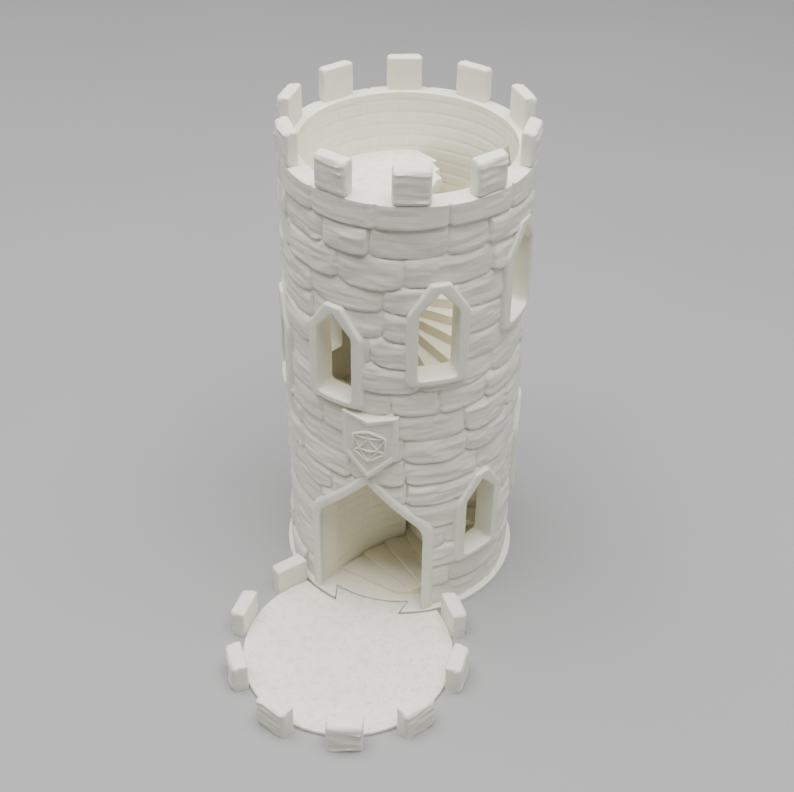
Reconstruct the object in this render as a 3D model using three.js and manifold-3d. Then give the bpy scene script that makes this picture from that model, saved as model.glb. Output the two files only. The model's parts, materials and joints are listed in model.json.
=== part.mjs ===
// A 3D-printed castle dice tower and the round catch tray that hooks onto its foot.
//
// The part's frame, in millimetres: the origin is on the tower's axis at table level, +Z is up,
// and the doorway faces -Y, so the tray lies on the -Y side. Angles round the tower are counted
// in degrees from the doorway, anticlockwise seen from above.
//
// Two bodies: the tower (foot plate, wall, battlements, surrounds, shield, spiral stair) and the
// tray (plate with a dovetail tab, battlements). The tray lifts straight up out of the foot plate.

import * as THREE from "three";
import { mergeVertices } from "three/addons/utils/BufferGeometryUtils.js";
import Module from "manifold-3d";

const wasm = await Module();
wasm.setup();

// ---- Driving dimensions ----------------------------------------------------------------------

const GAP = 0.3; // left between pieces that meet on a curved or turned face
const ROUND_SEGMENTS = 72; // facets on a full turn

const PLATE_THICKNESS = 1.2; // foot plate and tray plate alike
const FOOT_RADIUS = 30;

const WALL = { inner: 24.2, outer: 28.6, top: 118.5 };
const RIM = { radius: 29.1, bottom: 113.5 }; // the top course stands out a little
const SURROUND_RADIUS = 29.7; // front face of the door and window surrounds

const MERLON = { height: 8, rounding: 1.2 };
const TOWER_MERLONS = { count: 10, first: 18, inner: 26, outer: 29.1, width: 8.2 };

const DOOR = { halfWidth: 13.2, spring: 28, apex: 42.2, band: 2.5 };
const SHIELD = { angle: 1.2, halfWidth: 6.6, top: 63.5, notch: 62.3, shoulder: 51.6, tip: 45.6 };
const SHIELD_FOLD = { side: 29.1, ridge: 31 }; // how far out its sides and its upright ridge stand

// The windows climb the wall beside the stair, each turned and raised from the one before it.
const WINDOW = { halfWidth: 4.6, height: 26.6, side: 2.6, sill: 1.6, head: 2.2, flat: 2.2, springDrop: 7.6 };
const WINDOWS = { count: 10, firstAngle: 58, angleStep: 47.6, firstSill: 15, rise: 8.22 };

const NEWEL_RADIUS = 2.5;
const STAIR = { firstAngle: 35.5, treadsPerTurn: 24, treads: 36, pitch: 62.2, thickness: 5 };
const FLIGHT_NAMES = ["lower_flight", "middle_flight", "upper_flight"];

// The last steps turn about a point just outside the right door jamb and send the dice outside.
// A wall that runs out along the left door jamb turns the dice round with them.
const EXIT = { pivotRadius: 32.7, steps: 3, rise: 1.0, stepAngle: 13.2 };
const END_WALL = { centreX: 22.3, centreY: -35, radius: 36, thickness: 2, sweep: 51.5, endAngle: -40 };

const LANDING = { top: 103.7, thickness: 3, backAngle: 190.7, frontAngle: 10 };
const LANDING_TEETH = { count: 3, tipX: 1.6, tipY: 20, shift: 1.7, run: 4, notchX: 0.9, notchY: 1.6 };

const TRAY = { radius: 25.8, centreY: -44.3, biteRadius: 30.7 };
const TRAY_MERLONS = { count: 8, step: 36.3, first: -128.5, inner: 26.1, outer: 29.6, width: 8.6 };
const DOVETAIL = { innerRadius: 26.6, innerAngle: 20.7, neckRadius: 31.6, neckAngle: 14.5 };
const DOVETAIL_CLEARANCE = 0.4;

// ---- Helpers ---------------------------------------------------------------------------------

const STEP_ANGLE = 360 / STAIR.treadsPerTurn;
const TREAD_RISE = STAIR.pitch / STAIR.treadsPerTurn;
const STAIR_RADIUS = WALL.inner - GAP;
const radians = THREE.MathUtils.degToRad;

/** A point at a radius and an angle from the doorway. */
function polar(radius, angle) {
  return new THREE.Vector2(radius * Math.sin(radians(angle)), -radius * Math.cos(radians(angle)));
}

/** The same angle as the anticlockwise one from +X that THREE.Path's arcs take, in radians. */
function arcAngle(angle) {
  return radians(angle - 90);
}

/** A closed geometry as a manifold-3d solid. */
function solid(geometry) {
  const bare = geometry.clone();
  bare.deleteAttribute("normal");
  bare.deleteAttribute("uv");
  const merged = mergeVertices(bare, 1e-4);
  const vertProperties = merged.attributes.position.array;
  const triVerts = new Uint32Array(merged.index.array);
  return new wasm.Manifold(new wasm.Mesh({ numProp: 3, vertProperties, triVerts }));
}

/** A manifold-3d solid as a geometry. */
function geometryOf(body) {
  const mesh = body.getMesh();
  const geometry = new THREE.BufferGeometry();
  geometry.setAttribute("position", new THREE.BufferAttribute(mesh.vertProperties, 3));
  geometry.setIndex(new THREE.BufferAttribute(mesh.triVerts, 1));
  const faceted = geometry.toNonIndexed();
  faceted.computeVertexNormals();
  return faceted;
}

/** A flat shape in the XY plane pulled up from one height to another. */
function prism(shape, bottom, top) {
  const options = { depth: top - bottom, bevelEnabled: false, curveSegments: ROUND_SEGMENTS / 2 };
  return new THREE.ExtrudeGeometry(shape, options).translate(0, 0, bottom);
}

/** An upright shape, drawn in X and Z, pulled from the axis out through the wall towards -Y. */
function outwardPrism(shape) {
  const options = { depth: FOOT_RADIUS + 2, bevelEnabled: false };
  return new THREE.ExtrudeGeometry(shape, options).rotateX(Math.PI / 2);
}

function disc(radius, centreX = 0, centreY = 0) {
  return new THREE.Shape().absarc(centreX, centreY, radius, 0, 2 * Math.PI);
}

/** A solid of revolution about Z from a closed profile of [radius, height] points. */
function turned(profile) {
  const points = [...profile, profile[0]].map(([radius, height]) => new THREE.Vector2(radius, height));
  return new THREE.LatheGeometry(points, ROUND_SEGMENTS).rotateX(Math.PI / 2);
}

/** A sector of a ring seen from above. */
function ringSector(inner, outer, from, to) {
  const shape = new THREE.Shape();
  shape.absarc(0, 0, outer, arcAngle(from), arcAngle(to), false);
  shape.absarc(0, 0, inner, arcAngle(to), arcAngle(from), true);
  return shape;
}

/** The tube of space between two radii, over the tower's whole height. */
function tube(inner, outer) {
  const top = WALL.top + MERLON.height;
  return solid(turned([[inner, 0], [outer, 0], [outer, top], [inner, top]]));
}

function printedPlastic() {
  return new THREE.MeshStandardMaterial({ color: 0xf1efe9, roughness: 0.75, metalness: 0 });
}

function named(name, geometry, parent) {
  const mesh = new THREE.Mesh(geometry, printedPlastic());
  mesh.name = name;
  parent.add(mesh);
  return mesh;
}

// ---- Openings --------------------------------------------------------------------------------

/** A house-shaped outline: upright sides, sloped head, and a flat top if it has any width. */
function pointedOutline({ halfWidth, bottom, spring, top, flat = 0 }) {
  const points = [
    [-halfWidth, bottom],
    [halfWidth, bottom],
    [halfWidth, spring],
    [flat, top],
  ];
  if (flat > 0) points.push([-flat, top]);
  points.push([-halfWidth, spring]);
  return points.map(([x, z]) => new THREE.Vector2(x, z));
}

/** The outline grown by a margin on every side. */
function grown(outline, margin) {
  return {
    halfWidth: outline.halfWidth + margin,
    bottom: outline.bottom - margin,
    spring: outline.spring + 0.45 * margin,
    top: outline.top + (outline.flat ? 1 : 1.4) * margin,
    flat: outline.flat ? outline.flat + 0.45 * margin : 0,
  };
}

function windowOutlines(sill) {
  const top = sill + WINDOW.height;
  const outer = {
    halfWidth: WINDOW.halfWidth + WINDOW.side,
    bottom: sill,
    spring: top - WINDOW.springDrop,
    top,
    flat: WINDOW.flat,
  };
  const inner = {
    halfWidth: WINDOW.halfWidth,
    bottom: sill + WINDOW.sill,
    spring: top - WINDOW.springDrop + 0.3,
    top: top - WINDOW.head,
  };
  return { outer, inner };
}

function doorOutlines() {
  const inner = { halfWidth: DOOR.halfWidth, bottom: PLATE_THICKNESS, spring: DOOR.spring, top: DOOR.apex };
  const outer = {
    halfWidth: DOOR.halfWidth + DOOR.band,
    bottom: PLATE_THICKNESS,
    spring: DOOR.spring + 0.45 * DOOR.band,
    top: DOOR.apex + 1.4 * DOOR.band,
  };
  return { outer, inner };
}

function windowPlaces() {
  return Array.from({ length: WINDOWS.count }, (_, i) => ({
    angle: WINDOWS.firstAngle + i * WINDOWS.angleStep,
    sill: WINDOWS.firstSill + i * WINDOWS.rise,
  }));
}

/** The frame round an opening, through the whole wall and a little proud of it. */
function surround({ outer, inner }) {
  const frame = solid(outwardPrism(new THREE.Shape(pointedOutline(outer))));
  const hole = { ...inner, bottom: inner.bottom === outer.bottom ? inner.bottom - 1 : inner.bottom };
  const opening = solid(outwardPrism(new THREE.Shape(pointedOutline(hole))));
  return frame.subtract(opening).intersect(tube(WALL.inner, SURROUND_RADIUS));
}

// ---- Tower: foot, wall and battlements --------------------------------------------------------

/** The dovetail seen from above, grown by a clearance. */
function dovetailShape(clearance) {
  const grownAngle = (radius, angle) => angle + THREE.MathUtils.radToDeg((1.1 * clearance) / radius);
  const innerRadius = DOVETAIL.innerRadius - clearance;
  const innerAngle = grownAngle(DOVETAIL.innerRadius, DOVETAIL.innerAngle);
  const neckAngle = grownAngle(DOVETAIL.neckRadius, DOVETAIL.neckAngle);
  const shape = new THREE.Shape();
  shape.absarc(0, 0, DOVETAIL.neckRadius, arcAngle(-neckAngle), arcAngle(neckAngle), false);
  shape.absarc(0, 0, innerRadius, arcAngle(innerAngle), arcAngle(-innerAngle), true);
  return shape;
}

function footPlate() {
  const plate = solid(prism(disc(FOOT_RADIUS), 0, PLATE_THICKNESS));
  const notch = solid(prism(dovetailShape(DOVETAIL_CLEARANCE), -1, PLATE_THICKNESS + 1));
  return plate.subtract(notch);
}

function towerWall() {
  let wall = solid(turned([
    [WALL.inner, PLATE_THICKNESS],
    [WALL.outer, PLATE_THICKNESS],
    [WALL.outer, RIM.bottom - 0.5],
    [RIM.radius, RIM.bottom],
    [RIM.radius, WALL.top],
    [WALL.inner, WALL.top],
  ]));
  const doorway = outwardPrism(new THREE.Shape(pointedOutline(grown(doorOutlines().outer, 1.2 * GAP))));
  wall = wall.subtract(solid(doorway));
  for (const { angle, sill } of windowPlaces()) {
    const cut = outwardPrism(new THREE.Shape(pointedOutline(grown(windowOutlines(sill).outer, 1.2 * GAP))));
    wall = wall.subtract(solid(cut.rotateZ(radians(angle))));
  }
  return wall;
}

/** A battlement block facing -Y, standing on z = 0, with rounded top edges. */
function merlonBlock({ inner, outer, width }) {
  const profile = new THREE.Shape();
  const { height, rounding: r } = MERLON;
  profile.moveTo(inner, 0);
  profile.lineTo(outer, 0);
  profile.lineTo(outer, height - r);
  profile.absarc(outer - r, height - r, r, 0, Math.PI / 2, false);
  profile.lineTo(inner + r / 2, height);
  profile.absarc(inner + r / 2, height - r / 2, r / 2, Math.PI / 2, Math.PI, false);
  const options = { depth: width, bevelEnabled: false, curveSegments: 4 };
  const block = new THREE.ExtrudeGeometry(profile, options);
  return block.translate(0, 0, -width / 2).rotateX(Math.PI / 2).rotateZ(-Math.PI / 2);
}

function addTowerMerlons(tower) {
  for (let i = 0; i < TOWER_MERLONS.count; i += 1) {
    const name = `tower_merlon_${String(i + 1).padStart(2, "0")}`;
    const merlon = named(name, merlonBlock(TOWER_MERLONS), tower);
    merlon.position.z = WALL.top;
    merlon.rotation.z = radians(TOWER_MERLONS.first + (i * 360) / TOWER_MERLONS.count);
  }
}

/** The shield over the door: a plate that hugs the wall, with two flat faces that meet in a ridge. */
function shieldPlaque() {
  const { halfWidth, top, notch, shoulder, tip } = SHIELD;
  const outline = [
    [0, tip],
    [halfWidth, shoulder],
    [halfWidth, top],
    [0, notch],
    [-halfWidth, top],
    [-halfWidth, shoulder],
  ].map(([x, z]) => new THREE.Vector2(x, z));
  const fold = new THREE.Shape();
  fold.moveTo(0, 0);
  fold.lineTo(-halfWidth, 0);
  fold.lineTo(-halfWidth, -SHIELD_FOLD.side);
  fold.lineTo(0, -SHIELD_FOLD.ridge);
  fold.lineTo(halfWidth, -SHIELD_FOLD.side);
  fold.lineTo(halfWidth, 0);
  const plate = solid(outwardPrism(new THREE.Shape(outline)));
  const folded = solid(prism(fold, tip - 1, top + 1));
  const wall = solid(prism(disc(WALL.outer + GAP), tip - 1, top + 1));
  return plate.intersect(folded).subtract(wall);
}

// ---- Tower: stair ----------------------------------------------------------------------------

function newel() {
  return prism(disc(NEWEL_RADIUS), PLATE_THICKNESS, LANDING.top - LANDING.thickness - GAP);
}

const firstTreadTop = PLATE_THICKNESS + (EXIT.steps + 1) * EXIT.rise;

/** The height of the stair's underside over a place, counted on along the spiral. */
function undersideAt(angle) {
  const index = Math.floor((angle - STAIR.firstAngle) / STEP_ANGLE);
  return firstTreadTop + index * TREAD_RISE - STAIR.thickness;
}

/** One wedge-shaped tread of the spiral. */
function tread(index, from, to) {
  const top = firstTreadTop + index * TREAD_RISE;
  const bottom = Math.max(PLATE_THICKNESS, top - STAIR.thickness);
  const wedge = ringSector(NEWEL_RADIUS + GAP, STAIR_RADIUS, from, to);
  const options = { depth: top - bottom, bevelEnabled: false, curveSegments: 3 };
  return solid(new THREE.ExtrudeGeometry(wedge, options).translate(0, 0, bottom));
}

/** A run of treads; the last one stops short of the next flight. */
function flight(first, count) {
  const shortening = THREE.MathUtils.radToDeg(GAP / STAIR_RADIUS);
  let run = null;
  for (let i = first; i < first + count; i += 1) {
    const from = STAIR.firstAngle + i * STEP_ANGLE;
    const isLast = i === first + count - 1;
    const step = tread(i, from, from + STEP_ANGLE - (isLast ? shortening : 0));
    run = run ? run.add(step) : step;
  }
  return run;
}

const exitPivot = polar(EXIT.pivotRadius, STAIR.firstAngle);
const exitStartAngle = Math.PI / 2 + radians(STAIR.firstAngle); // from the pivot back to the axis

/** A long wedge about the exit pivot, between two angles counted in degrees on from the axis. */
function exitWedge(from, to) {
  const reach = 3 * FOOT_RADIUS;
  const corner = (angle) => [
    exitPivot.x + reach * Math.cos(exitStartAngle + radians(angle)),
    exitPivot.y + reach * Math.sin(exitStartAngle + radians(angle)),
  ];
  const shape = new THREE.Shape();
  shape.moveTo(exitPivot.x, exitPivot.y);
  shape.lineTo(...corner(from));
  shape.lineTo(...corner(to));
  return shape;
}

/** An upright cylinder about the centre that the end wall is curved round. */
function withinEndWall(radius) {
  return solid(prism(disc(radius, END_WALL.centreX, END_WALL.centreY), -1, WALL.top));
}

/** The space inside the tower's wall, clear of the newel. */
function hallSpace() {
  const hall = solid(prism(disc(STAIR_RADIUS), -1, WALL.top));
  const post = solid(prism(disc(NEWEL_RADIUS + GAP), -1, WALL.top));
  return hall.subtract(post);
}

/** The space between the door jambs, as far out as the wall's outer face. */
function doorwaySpace() {
  const outline = { ...grown(doorOutlines().inner, -GAP), bottom: PLATE_THICKNESS };
  const passage = solid(outwardPrism(new THREE.Shape(pointedOutline(outline))));
  return passage.intersect(solid(prism(disc(WALL.outer), -1, WALL.top)));
}

/** The fan of shallow steps inside the doorway. */
function exitSteps() {
  const clearance = 0.6; // degrees, from the first tread of the spiral
  let fan = null;
  for (let i = 1; i <= EXIT.steps; i += 1) {
    const wedge = exitWedge(clearance, (EXIT.steps + 1 - i) * EXIT.stepAngle);
    const bottom = fan ? PLATE_THICKNESS + EXIT.rise / 2 : PLATE_THICKNESS;
    const step = solid(prism(wedge, bottom, PLATE_THICKNESS + i * EXIT.rise));
    fan = fan ? fan.add(step) : step;
  }
  return fan.intersect(withinEndWall(END_WALL.radius - GAP)).intersect(hallSpace());
}

/** The curved wall that closes the space under the stair and turns the dice to the doorway. */
function stairEndWall() {
  const { radius, thickness, sweep, endAngle } = END_WALL;
  const wedge = solid(prism(exitWedge(1, sweep), PLATE_THICKNESS, undersideAt(360 + endAngle) - GAP));
  const ring = withinEndWall(radius + thickness).subtract(withinEndWall(radius));
  return wedge.intersect(ring).intersect(hallSpace().add(doorwaySpace()));
}

/** The floor that a die is dropped on; its free edge is toothed near the back wall. */
function topLanding() {
  const { top, thickness, backAngle, frontAngle } = LANDING;
  const { count, tipX, tipY, shift, run, notchX, notchY } = LANDING_TEETH;
  const shape = new THREE.Shape();
  shape.absarc(0, 0, STAIR_RADIUS, arcAngle(backAngle), arcAngle(360 + frontAngle), false);
  for (let i = count - 1; i >= 0; i -= 1) {
    const x = tipX + i * shift;
    const y = tipY - i * run;
    shape.lineTo(x - notchX, y - notchY);
    shape.lineTo(x, y);
  }
  return prism(shape, top - thickness, top);
}

// ---- Tray ------------------------------------------------------------------------------------

function trayPlate() {
  const plate = solid(prism(disc(TRAY.radius, 0, TRAY.centreY), 0, PLATE_THICKNESS));
  const bite = solid(prism(disc(TRAY.biteRadius), -1, PLATE_THICKNESS + 1));
  const tab = solid(prism(dovetailShape(0), 0, PLATE_THICKNESS));
  return plate.subtract(bite).add(tab);
}

function addTrayMerlons(tray) {
  const ring = new THREE.Group();
  ring.position.y = TRAY.centreY;
  tray.add(ring);
  for (let i = 0; i < TRAY_MERLONS.count; i += 1) {
    const merlon = named(`tray_merlon_${i + 1}`, merlonBlock(TRAY_MERLONS), ring);
    merlon.rotation.z = radians(TRAY_MERLONS.first + i * TRAY_MERLONS.step);
  }
}

// ---- Assembly --------------------------------------------------------------------------------

function buildTower() {
  const tower = new THREE.Group();
  named("foot_plate", geometryOf(footPlate()), tower);
  named("tower_wall", geometryOf(towerWall()), tower);
  addTowerMerlons(tower);
  named("door_surround", geometryOf(surround(doorOutlines())), tower);
  windowPlaces().forEach(({ angle, sill }, i) => {
    const name = `window_surround_${String(i + 1).padStart(2, "0")}`;
    const frame = named(name, geometryOf(surround(windowOutlines(sill))), tower);
    frame.rotation.z = radians(angle);
  });
  named("shield_plaque", geometryOf(shieldPlaque()), tower).rotation.z = radians(SHIELD.angle);
  named("stair_newel", newel(), tower);
  const flightTreads = STAIR.treads / FLIGHT_NAMES.length;
  FLIGHT_NAMES.forEach((name, i) => {
    named(name, geometryOf(flight(i * flightTreads, flightTreads)), tower);
  });
  named("exit_steps", geometryOf(exitSteps()), tower);
  named("stair_end_wall", geometryOf(stairEndWall()), tower);
  named("top_landing", topLanding(), tower);
  return tower;
}

function buildTray() {
  const tray = new THREE.Group();
  named("tray_plate", geometryOf(trayPlate()), tray);
  addTrayMerlons(tray);
  return tray;
}

const diceTower = new THREE.Group();
diceTower.add(buildTower(), buildTray());

export default diceTower;
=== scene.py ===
"""The looks of a 3D-printed castle dice tower and its catch tray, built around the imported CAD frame.

The frame is in metres: the origin is on the tower's axis at table level, +Z is up and the doorway
faces -Y. Lengths below are in millimetres, except where a comment says metres, and MM scales them.
Angles round the tower are in degrees from the doorway, anticlockwise seen from above.
"""

import json
import math

import bmesh
import bpy
import numpy as np
from mathutils import Matrix, Vector, noise

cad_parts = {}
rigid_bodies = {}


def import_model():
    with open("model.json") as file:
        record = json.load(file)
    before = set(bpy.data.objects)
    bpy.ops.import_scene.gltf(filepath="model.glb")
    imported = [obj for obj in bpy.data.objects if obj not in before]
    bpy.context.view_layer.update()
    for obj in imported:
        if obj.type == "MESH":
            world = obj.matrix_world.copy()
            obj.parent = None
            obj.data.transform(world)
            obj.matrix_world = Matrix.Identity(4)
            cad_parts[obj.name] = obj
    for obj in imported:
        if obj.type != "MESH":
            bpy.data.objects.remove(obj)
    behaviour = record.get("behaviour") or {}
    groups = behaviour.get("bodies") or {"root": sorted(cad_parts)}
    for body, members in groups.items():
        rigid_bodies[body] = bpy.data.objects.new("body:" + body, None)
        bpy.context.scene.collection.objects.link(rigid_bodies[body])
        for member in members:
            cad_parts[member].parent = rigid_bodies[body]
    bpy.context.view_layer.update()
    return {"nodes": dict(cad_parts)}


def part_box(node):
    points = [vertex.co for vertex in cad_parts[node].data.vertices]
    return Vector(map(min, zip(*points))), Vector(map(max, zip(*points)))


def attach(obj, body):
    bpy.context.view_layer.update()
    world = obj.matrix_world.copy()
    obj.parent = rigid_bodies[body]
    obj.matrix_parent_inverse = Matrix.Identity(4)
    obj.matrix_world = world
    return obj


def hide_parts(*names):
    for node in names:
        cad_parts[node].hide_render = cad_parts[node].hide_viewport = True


MM = 0.001

for leftover in list(bpy.data.objects):
    bpy.data.objects.remove(leftover)

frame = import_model()


# ---- Sizes, in millimetres ---------------------------------------------------------------------


def box_mm(node):
    """The low and high corners of a CAD node's box."""
    low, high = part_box(node)
    return low / MM, high / MM


PLATE_TOP = box_mm("foot_plate")[1].z
WALL_TOP = box_mm("tower_wall")[1].z
MERLON_TOP = box_mm("tower_merlon_01")[1].z
TRAY_CENTRE_Y = box_mm("tray_plate")[0].y + box_mm("tray_plate")[1].x

# Pillowy stones in wavy courses. From the jitter on, the values say how much single stones differ.
STONE = {
    "courses": 16,
    "per_course": 12,
    "rim_bottom": 112.4,
    "joint_radius": 27.75,
    "proud": 0.95,
    "lower_round": 0.55,
    "upper_round": 2.2,
    "side_round": 0.6,
    "sag": 1.1,
    "corner": 0.7,
    "corner_run": 1.8,
    "first_base": -3.0,
    "start_range": 30,
    "start_step": 15,
    "wave": 0.55,
    "wave_cell": 40,
    "jitter": 0.32,
    "offset": (-0.3, 0.42),
    "tilt": 0.3,
    "slope": 0.05,
    "lean": 0.25,
}
# The course under the battlements is laid straighter and cut smoother than the others.
RIM_COURSE = {
    "jitter": 0.10,
    "roughness": 0.35,
    "start": 3.0,
    "upper_round": 0.45,
    "lift": 0.30,
    "calm": 0.45,
}

# The relief on the stones: how far it stands in or out, and the angle and height of its cells.
LUMPS = (0.22, 10, 3.4)
STROKES = (0.20, 13, 1.25)
SCRATCHES = (0.13, 6, 0.62)
# The pattern of the strokes is turned on by this much for each next stone, so that strokes stop at
# the joints. It is shifted up by a set amount, and slopes to and fro over a span of so many degrees.
STROKE_TURN = 97.0
STROKE_SHIFT = 1.7
STROKE_SPAN = 30

WALL_INNER = 23.85
MOUTH_INNER = 24.6
MOUTH_START = 101.0
GRID = {"columns": 400, "rows": 313, "rows_per_brick": 8}

# Faint small bricks. Their edges are shares of the way from a brick's middle to its joint, and each
# of the two noises has its share, how much it is stretched along the wall and its cell's angle.
BRICK = {
    "height": GRID["rows_per_brick"] * (WALL_TOP - PLATE_TOP) / GRID["rows"],
    "length": 7.5,
    "bed": 0.26,
    "head": 0.16,
    "bed_edge": (0.76, 0.98),
    "head_edge": (0.91, 0.99),
    "stagger": 0.37,
    "stagger_turn": 2.3,
    "wander": (0.05, 3, 12),
    "wear": (0.3, 5, 26),
    "wear_height": 5.0,
    "uneven": 0.06,
    "uneven_cell": 17,
}
SEEDS = {"stones": 11, "bricks": 5, "exit_bricks": 8}

# Half outlines of the openings, as (x, z) from the sill up to the head. The other half mirrors them.
# A window's heights count from its sill, and the door's from the table.
WINDOW_INNER = [(4.6, 1.6), (4.6, 19.3), (0.0, 24.4)]
WINDOW_OUTER = [(7.2, 0.0), (7.2, 19.0), (2.2, 26.6)]
WINDOWS = {"count": 10, "first_angle": 58.0, "angle_step": 47.6, "first_sill": 15.0, "rise": 8.22}
DOOR_INNER = [(13.2, 1.2), (13.2, 28.0), (0.0, 42.2)]
DOOR_OUTER = [(15.7, 1.2), (15.7, 28.9), (0.0, 45.7)]
# The inside of the wall is turned outwards beside the doorway. The turn is full up to a few degrees
# past each jamb and has faded out at the end angle.
DOOR_WARP = {"past_jamb": 3, "end": 48.0}
SURROUND = {"front": 29.75, "runs": 14, "clear": 0.1}
WINDOW_FRAME = {"round": 0.5, "softening": 1}
DOOR_FRAME = {"round": 0.9, "softening": 3}

# The exit wall is an arc about its centre, between two angles anticlockwise from +X. Its top drops to
# the door's head between the two doorway radii. Between the two tuck depths it straightens to run
# along the jamb, with its front and its back that far behind the jamb's face.
END_WALL = {
    "centre": (22.3, -35.0),
    "radius": 36.0,
    "thickness": 1.9,
    "from": 122.5,
    "to": 166.0,
    "top": box_mm("stair_end_wall")[1].z,
    "doorway": (22.8, 24.4),
    "tuck": (-20.5, -26.0),
    "tuck_front": 0.25,
    "tuck_back": 1.0,
    "columns": 80,
    "rows": 120,
}

# A battlement block. Its cuts bunch up towards its edges, and its face and edge shares say where
# the chiselled relief starts and where it fades.
MERLON = {
    "round": 0.45,
    "outer_round": 1.1,
    "cuts": 25,
    "bunching": 0.8,
    "face": (0.2, 0.95),
    "edge": (0.75, 1.0),
    "edge_relief": 0.35,
    "bend": 0.10,
    "sway": 0.12,
}
CHISEL = {"broad": 0.25, "wander": 1.1, "pitch": 1.9, "depth": 0.34, "width": 0.26, "evenness": 0.5}
TOWER_MERLON = {
    "count": 10,
    "first": 18.0,
    "step": 36.0,
    "width": 8.2,
    "inner": 26.0,
    "outer": 29.15,
    "bottom": WALL_TOP - 0.35,
    "seed": 3,
    "seed_step": 2.3,
}
TRAY_MERLON = {
    "count": 8,
    "first": -128.5,
    "step": 36.3,
    "width": 8.6,
    "inner": 25.75,
    "outer": 29.6,
    "bottom": -1.2,
    "seed": 50,
    "seed_step": 2.9,
}

SHIELD = {
    "angle": 1.2,
    "half_width": 6.6,
    "top": 63.5,
    "notch": 62.6,
    "shoulder": 51.6,
    "tip": 45.6,
    "side_front": 29.1,
    "ridge": 31.0,
    "back": 27.0,
    "bevel": 0.18,
}
SHIELD_RIM = {"width": 0.9, "depth": 0.4}
EMBLEM = {
    "centre": 55.2,
    "radius": 4.4,
    "triangle": 0.56,
    "line": 0.6,
    "height": 0.45,
    "root": 0.4,
    "top_share": 0.5,
    "outer_weight": 1.6,
    "triangle_weight": 1.0,
    "spoke_weight": 0.8,
}
# Corners of a CAD solid that lie closer than WELD are joined. What is under TINY counts as none.
WELD = 0.01
TINY = 1e-6


# ---- Colours and studio --------------------------------------------------------------------------

# Colours: the plastic on the outside and in its speckle, and a warm painted shade deep inside the tower.
OUTSIDE_DARK = (0.82, 0.81, 0.70)
OUTSIDE_LIGHT = (0.83, 0.82, 0.72, 1)
SPECK_COLOUR = (0.42, 0.41, 0.37, 1)
PAINTED_INSIDE_SHADE = (0.88, 0.835, 0.66, 1)
# The painted inside shade fades out through the wall, and fades to a part of itself towards the better lit
# open top.
PAINTED_SHADE_RADII = (24.2, 28.2)
PAINTED_SHADE_HEIGHTS = (88, 116)
PAINTED_SHADE_AT_TOP = 0.25

# In metres: each light's place and size, with its power in watts, the point that all the lights
# face, and the floor's size.
LIGHTS = {
    "overhead": ((0.0, -0.06, 0.75), (0.8, 0.6), 14.0),
    "left_side": ((-0.75, 0.05, 0.40), (0.5, 0.5), 1.1),
    "right_side": ((0.75, 0.10, 0.40), (0.5, 0.5), 1.1),
}
LIT_POINT = (0, -0.02, 0.06)
SKY = {"colour": (1.0, 0.98, 0.95, 1), "strength": 0.10}
FLOOR = {
    "size": 6,
    "roughness": 0.9,
    "grain": 60,
    "dark": (0.30, 0.30, 0.30, 1),
    "light": (0.33, 0.33, 0.33, 1),
}
# The camera's place is in metres, its turns in degrees, and its sensor and lens in millimetres.
CAMERA = {
    "location": (0.0720, -0.2556, 0.2537),
    "turns": (54.15, -0.81, 16.65),
    "sensor": 36,
    "lens": 60.56,
    "shift_y": -0.06,
    "clip_start": 0.01,
}


# ---- Mesh helpers --------------------------------------------------------------------------------


def polar(radius, angle):
    """A point at a radius and an angle from the doorway, in the plane of the table."""
    turn = np.radians(angle)
    return radius * np.sin(turn), -radius * np.cos(turn)


def smooth_object(name, mesh, sharp_angle):
    """An object with smooth shading, except over edges sharper than an angle."""
    mesh.shade_smooth()
    mesh.set_sharp_from_angle(angle=math.radians(sharp_angle))
    made = bpy.data.objects.new(name, mesh)
    bpy.context.scene.collection.objects.link(made)
    return made


def mesh_object(name, vertices, faces, sharp_angle):
    """An object from points in millimetres and its faces."""
    mesh = bpy.data.meshes.new(name)
    mesh.from_pydata((np.asarray(vertices, float) * MM).tolist(), [], faces)
    mesh.update()
    return smooth_object(name, mesh, sharp_angle)


def object_from_bmesh(name, bm, sharp_angle):
    """An object from a bmesh that is already in metres; the bmesh is freed."""
    bmesh.ops.recalc_face_normals(bm, faces=bm.faces)
    mesh = bpy.data.meshes.new(name)
    bm.to_mesh(mesh)
    bm.free()
    return smooth_object(name, mesh, sharp_angle)


def add_bevel(piece, width, segments=2):
    """Rounds a piece's edges, except those that are nearly flat."""
    bevel = piece.modifiers.new("worn_edges", "BEVEL")
    bevel.width = width * MM
    bevel.segments = segments
    bevel.limit_method = "ANGLE"
    bevel.angle_limit = math.radians(35)


def place(piece, body, nodes, material):
    """Puts a finished piece on its body, in place of its CAD nodes, with its material."""
    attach(piece, body)
    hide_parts(*nodes)
    piece.data.materials.clear()
    piece.data.materials.append(material)


def smoothstep(low, high, value):
    """0 at low and 1 at high, with a smooth rise between them."""
    t = np.clip((value - low) / (high - low), 0, 1)
    return t * t * (3 - 2 * t)


def quarter_round(distance, radius):
    """0 at an edge, rising along a quarter circle to 1 at radius from it."""
    inward = 1 - np.clip(distance / radius, 0, 1)
    return np.sqrt(1 - inward * inward)


def wrapped_noise(theta, height, cell_angle, cell_height, rng):
    """Smooth noise between -1 and 1 that joins up round the tower."""
    columns = max(3, round(360 / cell_angle))
    rows = int(height.max() / cell_height) + 3
    lattice = rng.uniform(-1, 1, (columns, rows))
    across = (theta % 360) / 360 * columns
    up = height / cell_height
    i, j = np.floor(across).astype(int), np.floor(up).astype(int)
    s, t = across - i, up - j
    s, t = smoothstep(0, 1, s), smoothstep(0, 1, t)
    i0, i1, j1 = i % columns, (i + 1) % columns, j + 1
    low = lattice[i0, j] * (1 - s) + lattice[i1, j] * s
    high = lattice[i0, j1] * (1 - s) + lattice[i1, j1] * s
    return low * (1 - t) + high * t


# ---- Materials -----------------------------------------------------------------------------------


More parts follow.
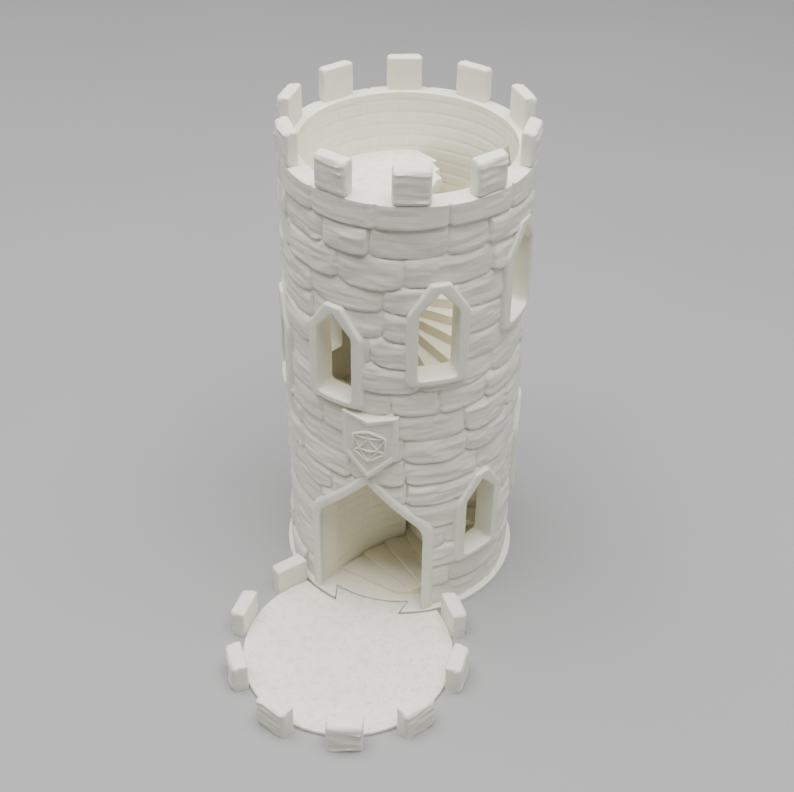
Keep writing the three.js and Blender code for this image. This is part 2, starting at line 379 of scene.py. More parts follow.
def shader_node(tree, kind, sockets=None, **properties):
    """A new shader node, with its properties chosen first and its sockets set after them."""
    made = tree.nodes.new(kind)
    for name, value in properties.items():
        setattr(made, name, value)
    for name, value in (sockets or {}).items():
        made.inputs[name].default_value = value
    return made


def smooth_ramp(tree, source, span, ends):
    """A value that goes smoothly from one end to the other over a span in millimetres."""
    sockets = {
        "From Min": span[0] * MM,
        "From Max": span[1] * MM,
        "To Min": ends[0],
        "To Max": ends[1],
    }
    ramp = shader_node(tree, "ShaderNodeMapRange", sockets, interpolation_type="SMOOTHSTEP")
    tree.links.new(source, ramp.inputs["Value"])
    return ramp.outputs["Result"]


def product(tree, first, second):
    """The product of two values."""
    times = shader_node(tree, "ShaderNodeMath", operation="MULTIPLY")
    tree.links.new(first, times.inputs[0])
    tree.links.new(second, times.inputs[1])
    return times.outputs[0]


def painted_shade_share(tree, point):
    """The share of painted shade: 1 deep inside the tower, less near its open top and 0 outside its wall.
    """
    split = shader_node(tree, "ShaderNodeSeparateXYZ")
    flat = shader_node(tree, "ShaderNodeCombineXYZ")
    radius = shader_node(tree, "ShaderNodeVectorMath", operation="LENGTH")
    tree.links.new(point, split.inputs[0])
    tree.links.new(split.outputs["X"], flat.inputs["X"])
    tree.links.new(split.outputs["Y"], flat.inputs["Y"])
    tree.links.new(flat.outputs[0], radius.inputs[0])
    inside = smooth_ramp(tree, radius.outputs["Value"], PAINTED_SHADE_RADII, (1, 0))
    depth = smooth_ramp(tree, split.outputs["Z"], PAINTED_SHADE_HEIGHTS, (1, PAINTED_SHADE_AT_TOP))
    return product(tree, inside, depth)


def mottled_colour(tree, point, mottle):
    """The outside colour, darker by up to mottle in soft blotches."""
    grain = shader_node(tree, "ShaderNodeTexNoise", {"Scale": 420, "Detail": 5, "Roughness": 0.6})
    tree.links.new(point, grain.inputs["Vector"])
    colour = shader_node(tree, "ShaderNodeValToRGB")
    dark, light = colour.color_ramp.elements
    dark.position = 0.30
    dark.color = [channel - mottle for channel in OUTSIDE_DARK] + [1]
    light.position = 0.52
    light.color = OUTSIDE_LIGHT
    tree.links.new(grain.outputs["Fac"], colour.inputs["Fac"])
    return colour.outputs["Color"]


def blended(tree, share, base, tint):
    """A colour that turns from a base colour to a fixed tint as the share grows."""
    mix = shader_node(tree, "ShaderNodeMix", data_type="RGBA")
    mix.inputs["B"].default_value = tint
    tree.links.new(share, mix.inputs["Factor"])
    tree.links.new(base, mix.inputs["A"])
    return mix.outputs["Result"]


def speck_share(tree, point, specks):
    """How much of a speck shows at a point: 0 between the specks and up to specks in them."""
    dust = shader_node(tree, "ShaderNodeTexNoise", {"Scale": 1100, "Detail": 4, "Distortion": 0.6})
    tree.links.new(point, dust.inputs["Vector"])
    share = shader_node(tree, "ShaderNodeMapRange", {"From Min": 0.57, "From Max": 0.70, "To Max": specks})
    tree.links.new(dust.outputs["Fac"], share.inputs["Value"])
    return share.outputs["Result"]


def layer_bump(tree, point, strength):
    """The fine level lines that a printer leaves, as a bump of the surface."""
    stretched = shader_node(tree, "ShaderNodeMapping", {"Scale": (90, 90, 2300)})
    layers = shader_node(tree, "ShaderNodeTexNoise", {"Scale": 1, "Detail": 3})
    bump = shader_node(tree, "ShaderNodeBump", {"Strength": strength, "Distance": 0.15 * MM})
    tree.links.new(point, stretched.inputs["Vector"])
    tree.links.new(stretched.outputs[0], layers.inputs["Vector"])
    tree.links.new(layers.outputs["Fac"], bump.inputs["Height"])
    return bump.outputs[0]


def printed_plastic(name, painted_shade_strength, mottle, layer_strength, specks=0.0):
    """White PLA: a warm painted shade that gathers deep inside the tower, printed layers, mottling and
    specks.
    """
    material = bpy.data.materials.new(name)
    material.use_nodes = True
    tree = material.node_tree
    shader = tree.nodes["Principled BSDF"]
    shader.inputs["Roughness"].default_value = 0.55
    shader.inputs["IOR"].default_value = 1.46
    shader.inputs["Subsurface Weight"].default_value = 0.12
    shader.inputs["Subsurface Radius"].default_value = (1.0, 0.85, 0.55)
    shader.inputs["Subsurface Scale"].default_value = 1.5 * MM

    point = shader_node(tree, "ShaderNodeTexCoord").outputs["Object"]
    # Painted shade: a warm tint that stands in for the dim, interreflected light deep inside the tower.
    strength = shader_node(tree, "ShaderNodeMath", {1: painted_shade_strength}, operation="MULTIPLY")
    tree.links.new(painted_shade_share(tree, point), strength.inputs[0])
    colour = blended(tree, strength.outputs[0], mottled_colour(tree, point, mottle), PAINTED_INSIDE_SHADE)
    colour = blended(tree, speck_share(tree, point, specks), colour, SPECK_COLOUR)
    tree.links.new(colour, shader.inputs["Base Color"])
    tree.links.new(layer_bump(tree, point, layer_strength), shader.inputs["Normal"])
    return material


wall_plastic = printed_plastic("pla_wall", painted_shade_strength=1.0, mottle=0.03, layer_strength=0.55)
smooth_plastic = printed_plastic("pla_smooth", painted_shade_strength=1.0, mottle=0.02, layer_strength=0.3)
bed_plastic = printed_plastic("pla_bed_side", painted_shade_strength=0.0, mottle=0.12, layer_strength=0.12, specks=0.45)


# ---- Stone wall ----------------------------------------------------------------------------------


def window_places():
    """Each window's angle and the height of its sill, climbing round the tower."""
    for i in range(WINDOWS["count"]):
        angle = WINDOWS["first_angle"] + i * WINDOWS["angle_step"]
        yield angle, WINDOWS["first_sill"] + i * WINDOWS["rise"]


def between(inner, outer, share):
    """The half outline that lies a share of the way from the inner one to the outer one."""
    return [(a + (c - a) * share, b + (d - b) * share) for (a, b), (c, d) in zip(inner, outer)]


def inside_outline(x, z, outline):
    """Whether points lie inside an opening whose half outline is given."""
    (half, bottom), (_, spring), (flat, top) = outline
    slope = (half - flat) / (top - spring)
    limit = np.where(z < spring, half, half - (z - spring) * slope)
    return (np.abs(x) < limit) & (z > bottom) & (z < top)


def open_cells(theta, z):
    """The cells of the wall's grid that the doorway and the windows take away."""
    reach = STONE["joint_radius"]
    x, y = polar(reach, theta)
    doorway = between(DOOR_INNER, DOOR_OUTER, 0.5)
    doorway[0] = (doorway[0][0], -1)
    gone = inside_outline(x, z, doorway) & (y < 0)
    window = between(WINDOW_INNER, WINDOW_OUTER, 0.5)
    for angle, sill in window_places():
        x, y = polar(reach, theta - angle)
        gone |= inside_outline(x, z - sill, window) & (y < 0)
    return gone


def lay_course(rng, jitter, roughness):
    """The joints of one course, as angles from its first joint, with each stone's own numbers."""
    count = STONE["per_course"] - int(rng.integers(0, 2))
    lengths = rng.uniform(1 - jitter, 1 + jitter, count)
    edges = np.concatenate([[0], np.cumsum(lengths)]) / lengths.sum() * 360
    return {
        "edges": edges,
        "sag": rng.uniform(0.1, 1.0, count) * STONE["sag"] * roughness,
        "corner": STONE["corner"] * roughness,
        "offset": rng.uniform(*STONE["offset"], count),
        "tilt": rng.uniform(-STONE["tilt"], STONE["tilt"], count),
        "slope": rng.uniform(-STONE["slope"], STONE["slope"], count),
        "lean": rng.uniform(-STONE["lean"], STONE["lean"]),
    }


def course_shape(course, start, base, theta, z):
    """Each point's stone number in a course, its distance to the side joints and its lower edge."""
    turned = (theta - start + course["lean"] * (z - base)) % 360
    stone = np.clip(np.searchsorted(course["edges"], turned, "right") - 1, 0, len(course["sag"]) - 1)
    left, right = course["edges"][stone], course["edges"][stone + 1]
    share = (turned - left) / (right - left)
    length = np.radians(right - left) * STONE["joint_radius"]
    to_joint = np.minimum(share, 1 - share) * length
    corner = course["corner"] * (1 - np.clip(to_joint / STONE["corner_run"], 0, 1)) ** 2
    lower = base - course["sag"][stone] * (1 - np.abs(2 * share - 1) ** 3) + corner
    return stone, to_joint, lower


def lay_courses(theta, z, rng):
    """Every course from the plate up to the rim, and where each point lies in each of them."""
    count = STONE["courses"]
    pitch = (STONE["rim_bottom"] - PLATE_TOP) / count
    level = np.zeros_like(z)
    waves = [wrapped_noise(theta, level, STONE["wave_cell"], 1, rng) for _ in range(count + 1)]
    courses = [lay_course(rng, STONE["jitter"], 1.0) for _ in range(count)]
    courses.append(lay_course(rng, RIM_COURSE["jitter"], RIM_COURSE["roughness"]))
    starts = [rng.uniform(0, STONE["start_range"]) + STONE["start_step"] * (k % 2) for k in range(count)]
    starts.append(RIM_COURSE["start"])
    shapes = []
    for k, (course, start, wave) in enumerate(zip(courses, starts, waves)):
        base = PLATE_TOP + k * pitch + (STONE["wave"] * wave if k else STONE["first_base"])
        shapes.append(course_shape(course, start, base, theta, z))
    return courses, shapes


def tooling(theta, z, turn, shift, rng):
    """The relief of the stones' faces: lumps right across them, with strokes and scratches in each."""
    def relief(kind, at_theta, at_z):
        depth, cell_angle, cell_height = kind
        return depth * wrapped_noise(at_theta, at_z, cell_angle, cell_height, rng)

    lumps = relief(LUMPS, theta, z)
    strokes = relief(STROKES, theta + turn, z + shift)
    return lumps + strokes + relief(SCRATCHES, theta + turn, z + shift)


def stone_radius(theta, z):
    """The wall's outer radius: pillowy stones in wavy courses, with a straight rim course on top."""
    rng = np.random.default_rng(SEEDS["stones"])
    courses, shapes = lay_courses(theta, z, rng)
    height, turn, shift = np.zeros((3, *theta.shape))
    calm = np.ones_like(z)
    for k, (course, (stone, to_joint, lower)) in enumerate(zip(courses, shapes)):
        rim = k == STONE["courses"]
        upper = np.full_like(z, WALL_TOP) if rim else shapes[k + 1][2]
        here = (z >= lower) & (z <= upper)
        below, above = z - lower, upper - z
        upper_round = RIM_COURSE["upper_round"] if rim else STONE["upper_round"]
        form = quarter_round(below, STONE["lower_round"]) * quarter_round(above, upper_round)
        form *= quarter_round(to_joint, STONE["side_round"])
        lift = RIM_COURSE["lift"] if rim else course["offset"][stone]
        lean_out = 0.0 if rim else course["tilt"][stone] * (below / (below + above + TINY) - 0.5)
        full = STONE["proud"] + lift + lean_out
        across = theta % STROKE_SPAN - STROKE_SPAN / 2
        height = np.where(here, full * form, height)
        calm = np.where(here & rim, RIM_COURSE["calm"], calm)
        turn = np.where(here, STROKE_TURN * stone, turn)
        shift = np.where(here, STROKE_SHIFT + course["slope"][stone] * across, shift)
    body = np.clip(height / STONE["proud"], 0, 1)
    return STONE["joint_radius"] + height + body * calm * tooling(theta, z, turn, shift, rng)


def brick_noise(kind, along, z, cell_height, rng):
    """One of the two noises that make the small bricks uneven."""
    share, stretch, cell_angle = BRICK[kind]
    return share * wrapped_noise(along * stretch, z, cell_angle, cell_height, rng)


def brick_relief(along, z, rng):
    """The depth of the joints of small bricks at a distance along a wall and a height on it."""
    wander = brick_noise("wander", along, z, BRICK["height"], rng)
    up = (z - PLATE_TOP) / BRICK["height"] + 0.5 + wander
    course = np.floor(up)
    to_bed = np.abs(up - course - 0.5) * 2
    stagger = 0.5 * (course % 2) + BRICK["stagger"] * np.sin(course * BRICK["stagger_turn"])
    around = along / BRICK["length"] + stagger
    to_head = np.abs(around - np.floor(around) - 0.5) * 2
    bed = BRICK["bed"] * smoothstep(*BRICK["bed_edge"], to_bed)
    head = BRICK["head"] * smoothstep(*BRICK["head_edge"], to_head)
    worn = 1 - BRICK["wear"][0] + brick_noise("wear", along, z, BRICK["wear_height"], rng)
    return np.maximum(bed, head) * worn


def mouth(z):
    """How much wider than its shaft the tower is at a height near its open top."""
    return (MOUTH_INNER - WALL_INNER) * smoothstep(MOUTH_START, WALL_TOP, z)


def inner_radius(theta, z):
    """The wall's inside, with its small faint bricks."""
    rng = np.random.default_rng(SEEDS["bricks"])
    bricks = brick_relief(np.radians(theta) * WALL_INNER, z, rng)
    uneven = BRICK["uneven"] * wrapped_noise(theta, z, BRICK["uneven_cell"], BRICK["height"], rng)
    return WALL_INNER + mouth(z) + bricks + uneven


def door_warp(theta):
    """Turns the inside of the wall outwards near the doorway so that its jambs run straight back."""
    signed = (theta + 180) % 360 - 180
    ratio = STONE["joint_radius"] / WALL_INNER
    edge = math.degrees(math.asin(DOOR_INNER[0][0] / STONE["joint_radius"]))
    jamb = edge + DOOR_WARP["past_jamb"]

    def straight_back(angle):
        return np.degrees(np.arcsin(ratio * np.sin(np.radians(angle)))) - angle

    near = np.clip(signed, -jamb, jamb)
    fade = 1 - smoothstep(jamb, DOOR_WARP["end"], np.abs(signed))
    return straight_back(near) * fade


def bare_sides(kept):
    """For each side of a grid's cells: the cells whose neighbour there is open, and its two corners."""
    padded = np.pad(kept, ((0, 0), (1, 1)))
    return [
        (kept & ~padded[:, :-2], (0, 0), (1, 0)),
        (kept & ~padded[:, 2:], (1, 1), (0, 1)),
        (kept & ~np.roll(kept, -1, 0), (1, 0), (1, 1)),
        (kept & ~np.roll(kept, 1, 0), (0, 1), (0, 0)),
    ]


def stone_wall():
    """The wall as two wrapped grids, stones outside and bricks inside, joined round every opening."""
    columns, rows = GRID["columns"], GRID["rows"]
    angles = np.arange(columns) * 360 / columns
    heights = np.linspace(PLATE_TOP, WALL_TOP, rows + 1)
    theta, z = np.meshgrid(angles, heights, indexing="ij")
    outer_x, outer_y = polar(stone_radius(theta, z), theta)
    inner_x, inner_y = polar(inner_radius(theta, z), theta + door_warp(theta))
    outer = np.stack([outer_x, outer_y, z], -1).reshape(-1, 3)
    inner = np.stack([inner_x, inner_y, z], -1).reshape(-1, 3)

    middles = angles + 180 / columns
    levels = (heights[1:] + heights[:-1]) / 2
    kept = ~open_cells(*np.meshgrid(middles, levels, indexing="ij"))

    def outer_at(i, j):
        return (i % columns) * (rows + 1) + j

    def inner_at(i, j):
        return outer_at(i, j) + len(outer)

    i, j = np.nonzero(kept)
    square = ((i, j), (i + 1, j), (i + 1, j + 1), (i, j + 1))
    faces = [
        np.stack([outer_at(*corner) for corner in square], 1),
        np.stack([inner_at(*square[k]) for k in (0, 3, 2, 1)], 1),
    ]
    for cells, (a_i, a_j), (b_i, b_j) in bare_sides(kept):
        i, j = np.nonzero(cells)
        a, b = (i + a_i, j + a_j), (i + b_i, j + b_j)
        faces.append(np.stack([outer_at(*b), outer_at(*a), inner_at(*a), inner_at(*b)], 1))
    points = np.concatenate([outer, inner])
    used, faces = np.unique(np.concatenate(faces), return_inverse=True)
    wall = mesh_object("stone_wall", points[used], faces.reshape(-1, 4).tolist(), 60)
    place(wall, "tower", ["tower_wall"], wall_plastic)


# ---- Surrounds and the exit wall -----------------------------------------------------------------


def full_outline(half, closed, softening):
    """Points along a whole outline from its half, cut into short runs, with its corners rounded."""
    corners = half + [(-x, z) for x, z in reversed(half)]
    if closed:
        corners.append(corners[0])
    share = np.arange(SURROUND["runs"])[:, None] / SURROUND["runs"]
    runs = [np.array(a) * (1 - share) + np.array(b) * share for a, b in zip(corners, corners[1:])]
    points = np.concatenate(runs if closed else runs + [np.array([corners[-1]])])
    for _ in range(softening):
        softer = (np.roll(points, 1, 0) + 2 * points + np.roll(points, -1, 0)) / 4
        if not closed:
            softer[0], softer[-1] = points[0], points[-1]
        points = softer
    return points


def surround_section(width, rounding):
    """The section of a surround, as shares of the way inwards and radii, with its front rounded."""
    quarter = [math.radians(turn) for turn in range(0, 91, 18)]
    front = SURROUND["front"]
    shares = [rounding * (1 - math.cos(turn)) / width for turn in quarter]
    radii = [front - rounding * (1 - math.sin(turn)) for turn in quarter]
    shares = [0, *shares, *(1 - share for share in reversed(shares)), 1]
    radii = [WALL_INNER, *radii, *reversed(radii), WALL_INNER]
    return np.array(shares), np.array(radii)


def surround(name, node, halves, style, closed, angle=0.0, lift=0.0):
    """A raised frame that follows an opening's outline and lines the opening through the wall."""
    inner, outer = halves
    inside = full_outline(inner, closed, style["softening"])
    outside = full_outline(outer, closed, style["softening"])
    shares, radii = surround_section(outer[0][0] - inner[0][0], style["round"])
    flat = outside[:, None] + (inside - outside)[:, None] * shares[:, None]
    x, z = flat[..., 0], flat[..., 1] + lift
    radii = np.maximum(radii, WALL_INNER + mouth(z) + SURROUND["clear"])
    y = -np.sqrt(radii**2 - x**2)
    turn = math.radians(angle)
    turned_x = x * math.cos(turn) - y * math.sin(turn)
    turned_y = x * math.sin(turn) + y * math.cos(turn)
    stops, around = x.shape
    faces = []
    for i in range(stops if closed else stops - 1):
        for j in range(around):
            a, b = i * around, (i + 1) % stops * around
            k = (j + 1) % around
            faces.append([a + j, b + j, b + k, a + k])
    if not closed:
        faces.append(list(range(around)))
        faces.append(list(reversed(range((stops - 1) * around, stops * around))))
    piece = mesh_object(name, np.stack([turned_x, turned_y, z], -1).reshape(-1, 3), faces, 50)
    place(piece, "tower", [node], wall_plastic)


def surrounds():
    """The frames round the ten windows and the doorway."""
    for i, (angle, sill) in enumerate(window_places()):
        name, node = f"window_frame_{i + 1:02d}", f"window_surround_{i + 1:02d}"
        surround(name, node, (WINDOW_INNER, WINDOW_OUTER), WINDOW_FRAME, True, angle, sill)
    surround("door_frame", "door_surround", (DOOR_INNER, DOOR_OUTER), DOOR_FRAME, False)


def exit_wall():
    """The curved wall that turns the dice to the doorway; it starts flush with the left jamb."""
    centre_x, centre_y = END_WALL["centre"]
    jamb = DOOR_INNER[0][0]
    turns = np.radians(np.linspace(END_WALL["from"], END_WALL["to"], END_WALL["columns"]))
    levels = np.linspace(0, 1, END_WALL["rows"])
    turn, level = np.meshgrid(turns, levels, indexing="ij")
    along = turn * END_WALL["radius"]

    def face(radius):
        return centre_x + radius * np.cos(turn), centre_y + radius * np.sin(turn)

    near_x, near_y = face(END_WALL["radius"])
    spring, peak = DOOR_INNER[1][1], DOOR_INNER[2][1]
    head = spring + (1 - np.abs(near_x) / jamb) * (peak - spring)
    in_doorway = smoothstep(*END_WALL["doorway"], np.hypot(near_x, near_y))
    top = END_WALL["top"] * (1 - in_doorway) + head * in_doorway
    z = PLATE_TOP + level * (top - PLATE_TOP)
    relief = brick_relief(along, z, np.random.default_rng(SEEDS["exit_bricks"]))
    front_x, front_y = face(END_WALL["radius"] + relief)
    back_x, back_y = face(END_WALL["radius"] + END_WALL["thickness"])
    tuck = smoothstep(*END_WALL["tuck"], near_y)
    front_x = front_x + (-jamb - END_WALL["tuck_front"] - front_x) * tuck
    back_x = np.minimum(back_x, -jamb - END_WALL["tuck_back"]) * tuck + back_x * (1 - tuck)
    front = np.stack([front_x, front_y, z], -1).reshape(-1, 3)
    back = np.stack([back_x, back_y, z], -1).reshape(-1, 3)

    columns, rows = turn.shape
    faces = []
    for i in range(columns - 1):
        for j in range(rows - 1):
            a, b = i * rows + j, (i + 1) * rows + j
            faces.append([a, a + 1, b + 1, b])
            faces.append([c + len(front) for c in (a, b, b + 1, a + 1)])
    rim = [i * rows for i in range(columns)]
    rim += [(columns - 1) * rows + j for j in range(1, rows)]
    rim += [i * rows + rows - 1 for i in range(columns - 2, -1, -1)]
    rim += list(range(rows - 2, 0, -1))
    for a, b in zip(rim, rim[1:] + rim[:1]):
        faces.append([a, b, b + len(front), a + len(front)])
    wall = mesh_object("exit_wall", np.concatenate([front, back]), faces, 50)
    place(wall, "tower", ["stair_end_wall"], smooth_plastic)


# ---- Battlements ---------------------------------------------------------------------------------


def rounded_block(bm, half_size):
    """Fills bm with a finely cut box whose edges are rounded, most of all those that face -Y."""
    bmesh.ops.create_cube(bm, size=2)
    bmesh.ops.subdivide_edges(bm, edges=bm.edges[:], cuts=MERLON["cuts"], use_grid_fill=True)
    for vertex in bm.verts:
        radius = MERLON["outer_round"] if vertex.co.y < 0 else MERLON["round"]
        bunched = [math.copysign(abs(c) ** MERLON["bunching"], c) for c in vertex.co]
        point = Vector(c * h for c, h in zip(bunched, half_size))
        core = Vector(max(-(h - radius), min(h - radius, c)) for c, h in zip(point, half_size))
        away = point - core
        vertex.co = core + away.normalized() * radius if away.length > TINY else point


def chiselled(point, seed):
    """How far a hand-cut face stands in or out at a point: broad swells and level grooves in them.

    The factors of the seed only pick another part of the noise for each of the three draws.
    """
    broad = noise.noise(Vector((point.x * 0.14 + seed, seed * 1.7, point.z * 0.45)))
    wander = noise.noise(Vector((point.x * 0.22, seed * 3.1 + 9, point.z * 0.2)))
    course = (point.z + CHISEL["wander"] * wander + seed) / CHISEL["pitch"]
    to_groove = abs(course - round(course)) * CHISEL["pitch"]
    strength = CHISEL["evenness"] + noise.noise(Vector((point.x * 0.2, round(course) * 4.7, seed)))
    groove = max(0.0, strength) * math.exp(-((to_groove / CHISEL["width"]) ** 2))
    return CHISEL["broad"] * broad - CHISEL["depth"] * groove


def merlon(name, sizes, top, number):
    """The numbered battlement block of a ring, turned to its angle about the ring's middle."""
    depth = sizes["outer"] - sizes["inner"]
    half_size = (sizes["width"] / 2, depth / 2, (top - sizes["bottom"]) / 2)
    middle = Vector((0, -(sizes["inner"] + depth / 2), (top + sizes["bottom"]) / 2))
    seed = sizes["seed"] + number * sizes["seed_step"]
    bm = bmesh.new()
    rounded_block(bm, half_size)
    for vertex in bm.verts:
        outward = smoothstep(*MERLON["face"], -vertex.co.y / half_size[1])
        edge = 1 - smoothstep(*MERLON["edge"], abs(vertex.co.x) / half_size[0])
        share = MERLON["edge_relief"] + (1 - MERLON["edge_relief"]) * edge
        vertex.co.y += outward * share * chiselled(vertex.co, seed)
        vertex.co.x += MERLON["bend"] * noise.noise(vertex.co * 0.4 + Vector((seed, 0, 0)))
        vertex.co.z += MERLON["sway"] * noise.noise(vertex.co * 0.3 + Vector((0, seed, 4)))
        vertex.co += middle
        vertex.co *= MM
    block = object_from_bmesh(name, bm, 60)
    angle = sizes["first"] + number * sizes["step"]
    block.data.transform(Matrix.Rotation(math.radians(angle), 4, "Z"))
    return block


def battlements():
    """The blocks on the tower's rim, and those round the tray, which are cut off at the table."""
    for i in range(TOWER_MERLON["count"]):
        block = merlon(f"tower_battlement_{i + 1:02d}", TOWER_MERLON, MERLON_TOP, i)
        place(block, "tower", [f"tower_merlon_{i + 1:02d}"], wall_plastic)
    for i in range(TRAY_MERLON["count"]):
        node = f"tray_merlon_{i + 1}"
        block = merlon(f"tray_battlement_{i + 1}", TRAY_MERLON, box_mm(node)[1].z, i)
        for vertex in block.data.vertices:
            vertex.co.z = max(vertex.co.z, 0)
        block.data.transform(Matrix.Translation((0, TRAY_CENTRE_Y * MM, 0)))
        place(block, "tray", [node], wall_plastic)


# ---- Shield --------------------------------------------------------------------------------------


def shield_front(x):
    """How far out the folded face of the shield stands at a distance from its ridge."""
    share = abs(x) / SHIELD["half_width"]
    return SHIELD["ridge"] + (SHIELD["side_front"] - SHIELD["ridge"]) * share


def shield_ring(bm, inset, drop):
    """The shield's outline, drawn in by an inset, on its folded face or a little behind it."""
    w = SHIELD["half_width"] - inset
    slope = (SHIELD["shoulder"] - SHIELD["tip"]) / SHIELD["half_width"]
    lift = inset * (math.hypot(1, slope) - slope)
    outline = [
        (-w, SHIELD["top"] - inset),
        (0, SHIELD["notch"] - inset),
        (w, SHIELD["top"] - inset),
        (w, SHIELD["shoulder"] + lift),
        (0, SHIELD["tip"] + inset * math.hypot(1, slope)),
        (-w, SHIELD["shoulder"] + lift),
    ]
    return [bm.verts.new((x, drop - shield_front(x), z)) for x, z in outline]


def shield_plate(bm):
    """A plate with a raised border round a sunk field, folded along its upright middle."""
    width, depth = SHIELD_RIM["width"], SHIELD_RIM["depth"]
    edge = shield_ring(bm, 0, 0)
    border = shield_ring(bm, width, 0)
    field = shield_ring(bm, width + depth, depth)
    back = [bm.verts.new((corner.co.x, -SHIELD["back"], corner.co.z)) for corner in edge]
    for outer, inner in ((back, edge), (edge, border), (border, field)):
        for a in range(len(outer)):
            b = (a + 1) % len(outer)
            bm.faces.new([outer[a], outer[b], inner[b], inner[a]])
    bm.faces.new([field[0], field[5], field[4], field[1]])
    bm.faces.new([field[1], field[4], field[3], field[2]])
    bm.faces.new(list(reversed(back)))


def raised_line(bm, start, end, width, height):
    """A low bar along the shield's face between two points given as (x, z)."""
    along = Vector((end[0] - start[0], 0, end[1] - start[1])).normalized()
    across = along.cross(Vector((0, 1, 0))) * width / 2
    stops = [start, end]
    if start[0] * end[0] < -TINY:
        share = start[0] / (start[0] - end[0])
        stops.insert(1, (0, start[1] + share * (end[1] - start[1])))
    rings = []
    for x, z in stops:
        face = Vector((x, SHIELD_RIM["depth"] - shield_front(x), z))
        low, high = Vector((0, EMBLEM["root"], 0)), Vector((0, -height, 0))
        narrow = across * EMBLEM["top_share"]
        corners = [face + across + low, face - across + low, face - narrow + high, face + narrow + high]
        rings.append([bm.verts.new(corner) for corner in corners])
    for first, second in zip(rings, rings[1:]):
        for a in range(4):
            b = (a + 1) % 4
            bm.faces.new([first[a], first[b], second[b], second[a]])
    bm.faces.new(list(reversed(rings[0])))
    bm.faces.new(rings[-1])


def emblem(bm):
    """A plain twenty-sided die seen face on: a hexagon, a triangle and the lines between them."""
    def ring(count, radius, first):
        turns = [math.radians(first + i * 360 / count) for i in range(count)]
        return [(radius * math.sin(t), EMBLEM["centre"] + radius * math.cos(t)) for t in turns]

    hexagon = ring(6, EMBLEM["radius"], 0)
    triangle = ring(3, EMBLEM["radius"] * EMBLEM["triangle"], 0)
    lines = [(hexagon[i], hexagon[(i + 1) % 6], EMBLEM["outer_weight"]) for i in range(6)]
    lines += [(triangle[i], triangle[(i + 1) % 3], EMBLEM["triangle_weight"]) for i in range(3)]
    for i, corner in enumerate(triangle):
        lines += [(corner, hexagon[(2 * i + k) % 6], EMBLEM["spoke_weight"]) for k in (-1, 0, 1)]
    for start, end, weight in lines:
        raised_line(bm, start, end, EMBLEM["line"] * weight, EMBLEM["height"])


def shield():
    """The folded shield over the doorway, with its emblem."""
    bm = bmesh.new()
    shield_plate(bm)
    emblem(bm)
    turn = Matrix.Rotation(math.radians(SHIELD["angle"]), 4, "Z")
    bmesh.ops.transform(bm, matrix=turn, verts=bm.verts)
    bmesh.ops.scale(bm, vec=(MM, MM, MM), verts=bm.verts)
    piece = object_from_bmesh("folded_shield", bm, 30)
    add_bevel(piece, SHIELD["bevel"])
    place(piece, "tower", ["shield_plaque"], wall_plastic)


# ---- Pieces finished from their CAD solids --------------------------------------------------------


def finished_copy(node, body, material, bevel, segments=2, grow=0.0):
    """The CAD solid with its printed edges rounded, grown a little where it fuses to its neighbours."""
    bm = bmesh.new()
    bm.from_mesh(frame["nodes"][node].data)
    bmesh.ops.remove_doubles(bm, verts=bm.verts, dist=WELD * MM)
    bmesh.ops.dissolve_limit(bm, angle_limit=math.radians(1), verts=bm.verts, edges=bm.edges)
    piece = object_from_bmesh(node + "_finished", bm, 30)
    if grow:
        displace = piece.modifiers.new("fused", "DISPLACE")
        displace.mid_level = 0
        displace.strength = grow * MM
    add_bevel(piece, bevel, segments)
    place(piece, body, [node], material)


def plain_features():
    """The plates, the stair and the landing, whose shapes the CAD already has in full."""
    finished_copy("foot_plate", "tower", smooth_plastic, bevel=0.2)
    finished_copy("stair_newel", "tower", smooth_plastic, bevel=0.25, grow=0.2)
    for node in ("lower_flight", "middle_flight", "upper_flight"):
        finished_copy(node, "tower", smooth_plastic, bevel=0.7, segments=3, grow=0.2)
    finished_copy("exit_steps", "tower", smooth_plastic, bevel=0.3, grow=0.2)
    finished_copy("top_landing", "tower", bed_plastic, bevel=0.12, grow=0.2)
    finished_copy("tray_plate", "tray", bed_plastic, bevel=0.25)


stone_wall()
surrounds()
exit_wall()
battlements()
shield()
plain_features()


# ---- Floor, light and camera ---------------------------------------------------------------------


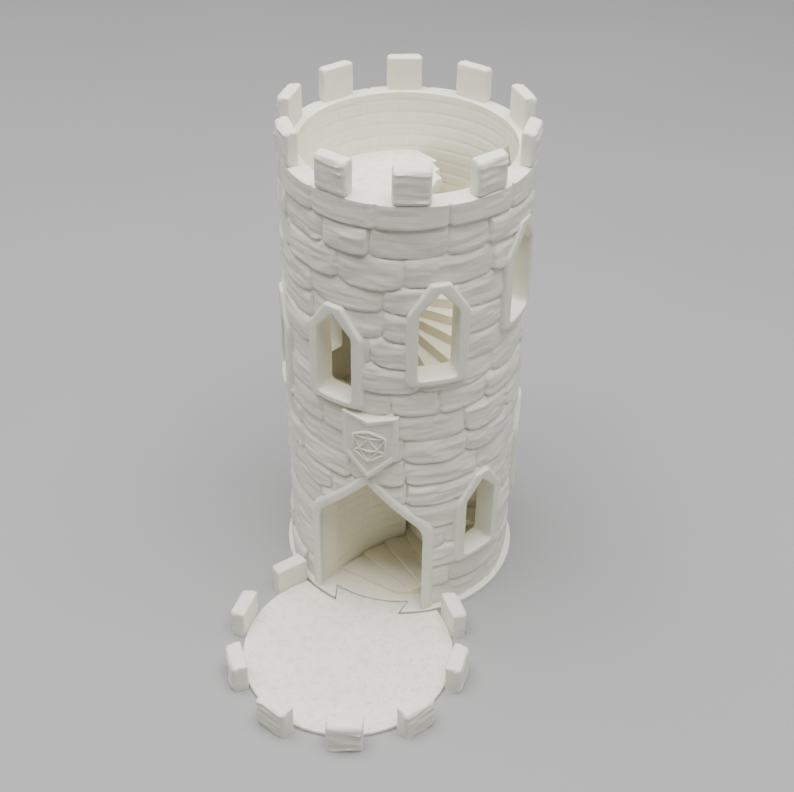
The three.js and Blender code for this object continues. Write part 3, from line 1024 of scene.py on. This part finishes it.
def studio_floor():
    """A plain paper floor."""
    bpy.ops.mesh.primitive_plane_add(size=FLOOR["size"], location=(0, 0, 0))
    floor = bpy.context.object
    floor.name = "studio_floor"
    material = bpy.data.materials.new("floor_paper")
    material.use_nodes = True
    tree = material.node_tree
    shader = tree.nodes["Principled BSDF"]
    shader.inputs["Roughness"].default_value = FLOOR["roughness"]
    fibres = shader_node(tree, "ShaderNodeTexNoise", {"Scale": FLOOR["grain"]})
    tone = shader_node(tree, "ShaderNodeValToRGB")
    tone.color_ramp.elements[0].color = FLOOR["dark"]
    tone.color_ramp.elements[1].color = FLOOR["light"]
    tree.links.new(fibres.outputs["Fac"], tone.inputs["Fac"])
    tree.links.new(tone.outputs["Color"], shader.inputs["Base Color"])
    floor.data.materials.append(material)


def soft_light(name, location, size, power):
    """A soft box that faces the middle of the object."""
    light = bpy.data.lights.new(name, "AREA")
    light.shape = "RECTANGLE"
    light.size, light.size_y = size
    light.energy = power
    lamp = bpy.data.objects.new(name, light)
    lamp.location = location
    lamp.rotation_euler = (Vector(LIT_POINT) - Vector(location)).to_track_quat("-Z", "Y").to_euler()
    bpy.context.scene.collection.objects.link(lamp)


def studio():
    """The floor, the lights and a faint even sky."""
    studio_floor()
    for name, (location, size, power) in LIGHTS.items():
        soft_light(name, location, size, power)
    world = bpy.data.worlds.new("studio_world")
    world.use_nodes = True
    sky = world.node_tree.nodes["Background"]
    sky.inputs["Color"].default_value = SKY["colour"]
    sky.inputs["Strength"].default_value = SKY["strength"]
    bpy.context.scene.world = world


def camera():
    """A camera that looks down on the tower from the front right."""
    data = bpy.data.cameras.new("photo_camera")
    data.sensor_width = CAMERA["sensor"]
    data.lens = CAMERA["lens"]
    data.shift_y = CAMERA["shift_y"]
    data.clip_start = CAMERA["clip_start"]
    viewer = bpy.data.objects.new("photo_camera", data)
    viewer.location = CAMERA["location"]
    viewer.rotation_euler = [math.radians(turn) for turn in CAMERA["turns"]]
    bpy.context.scene.collection.objects.link(viewer)
    bpy.context.scene.camera = viewer


studio()
camera()
